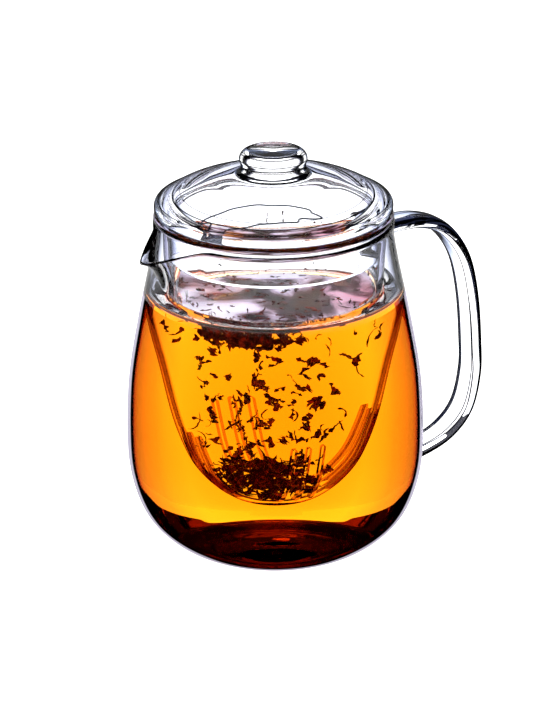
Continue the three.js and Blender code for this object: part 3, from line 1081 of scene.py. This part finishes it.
def make_water_film(ceiling):
    """The rounded edge of a film of condensed water that hangs under the lid's dome."""
    # painted shade: the water's edge darkens what shows through it, for a dark outline
    glass = glass_material(
        "water_edge", WATER_IOR, STRAP_THROUGH, SOFT_MIRROR, inner_mirror=False, painted_tint=(0.3, 0.31, 0.35),
    )
    steps, around = 220, 8
    path = []
    for i in range(steps):
        a = 2 * math.pi * i / steps
        wobble = 1 + 0.07 * math.sin(3 * a + 0.5) + 0.05 * math.sin(7 * a + 2) + 0.03 * math.sin(13 * a)
        wobble -= 0.16 * math.exp(-((a - 3.0) / 0.22) ** 2) + 0.1 * math.exp(-((a - 5.9) / 0.15) ** 2)
        spot = view_side(
            FILM_CENTRE[0] + FILM_REACH[0] * wobble * math.cos(a),
            FILM_CENTRE[1] + FILM_REACH[1] * wobble * math.sin(a), 0,
        )
        spot.z = ceiling_height(math.hypot(spot.x, spot.y), ceiling) - 0.05 * MM
        path.append(spot)
    verts, faces = [], []
    for i, spot in enumerate(path):
        along = (path[(i + 1) % steps] - path[i - 1]).normalized()
        side = along.cross(Vector((0, 0, 1))).normalized()
        lift = side.cross(along)
        for k in range(around):
            a = 2 * math.pi * k / around
            verts.append(spot + (side * math.cos(a) + lift * math.sin(a)) * FILM_BEAD)
    for i in range(steps):
        j = (i + 1) % steps
        for k in range(around):
            n = (k + 1) % around
            faces.append((i * around + k, j * around + k, j * around + n, i * around + n))
    film = new_mesh_object("water_film", verts, faces, [glass])
    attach(film, "lid")


# ---- floor, backdrop and light ----

TABLE_GLOW = 1.25                # brightness of the pale table and backdrop
ROOM = (0.08, 0.08, 0.10)        # the dim studio above them
BACKDROP_RADIUS = 4.0
BACKDROP_LOW_TOP = 1.15          # seen from the pot this is about 16 degrees up
BACKDROP_TOP = 6.0
FLOOR_HALF = 4.5
FLOOR_DROP = 0.15 * MM           # keeps the floor clear of the pot's base


def glow_material(name, strength):
    """Plain pale matt surface that also gives light."""
    material, nodes, links, shader = new_material(name)
    shader.inputs["Base Color"].default_value = (0.5, 0.5, 0.5, 1)
    shader.inputs["Roughness"].default_value = 0.9
    shader.inputs["Specular IOR Level"].default_value = 0.0
    shader.inputs["Emission Color"].default_value = (*WHITE, 1)
    shader.inputs["Emission Strength"].default_value = strength
    return material


def stage_plane(name, half, material):
    verts = [(-half, -half, 0), (half, -half, 0), (half, half, 0), (-half, half, 0)]
    plane = new_mesh_object(name, verts, [(0, 1, 2, 3)], [material], smooth=False)
    plane.location.z = -FLOOR_DROP


def stage_wall(name, low, high, material):
    """An upright ring round the whole set."""
    sides = 64
    verts, faces = [], []
    for z in (low, high):
        for k in range(sides):
            a = 2 * math.pi * k / sides
            verts.append((BACKDROP_RADIUS * math.cos(a), BACKDROP_RADIUS * math.sin(a), z))
    for k in range(sides):
        n = (k + 1) % sides
        faces.append((k, n, sides + n, sides + k))
    wall = new_mesh_object(name, verts, faces, [material])
    return wall


def softbox(name, azimuth, elevation, distance, width, height, strength):
    """A glowing panel that faces the pot. It shows in mirrored and bent light only, never directly."""
    a, e = math.radians(azimuth), math.radians(elevation)
    away = Vector((math.cos(a) * math.cos(e), math.sin(a) * math.cos(e), math.sin(e)))
    side = Vector((-math.sin(a), math.cos(a), 0))
    up = away.cross(side)
    centre = Vector((0, 0, 0.08)) + away * distance
    corners = [
        centre - side * width / 2 - up * height / 2, centre + side * width / 2 - up * height / 2,
        centre + side * width / 2 + up * height / 2, centre - side * width / 2 + up * height / 2,
    ]
    material = glow_material(name, strength)
    panel = new_mesh_object(name, corners, [(0, 1, 2, 3)], [material], smooth=False)
    panel.visible_camera = False
    panel.visible_diffuse = False
    panel.visible_shadow = False


def make_stage():
    """Glowing table and backdrop. The backdrop's high part shows directly but not in the glass."""
    stage_plane("floor", FLOOR_HALF, glow_material("table", TABLE_GLOW))
    stage_wall("backdrop_low", -0.01, BACKDROP_LOW_TOP, glow_material("backdrop", TABLE_GLOW))
    high_glow = glow_material("backdrop_high", TABLE_GLOW)
    high = stage_wall("backdrop_high", BACKDROP_LOW_TOP, BACKDROP_TOP, high_glow)
    high.visible_glossy = False
    high.visible_transmission = False
    softbox("softbox_back", 58.5, 28, 1.6, 1.3, 0.4, 4.5)
    softbox("softbox_top", 0, 88, 1.5, 0.9, 0.9, 3)
    world = bpy.data.worlds.new("studio")
    world.use_nodes = True
    background = world.node_tree.nodes["Background"]
    background.inputs["Color"].default_value = (*ROOM, 1)
    background.inputs["Strength"].default_value = 1
    bpy.context.scene.world = world


def set_light_paths():
    scene = bpy.context.scene
    scene.view_settings.view_transform = "Standard"
    scene.cycles.max_bounces = 40
    scene.cycles.transmission_bounces = 36
    scene.cycles.glossy_bounces = 12
    scene.cycles.transparent_max_bounces = 24


add_camera()
make_stage()
set_light_paths()
make_jug()
make_infuser()
lid_ceiling = make_lid()
make_tea()
make_leaves()
make_froth()
make_mist()
make_water_film(lid_ceiling)
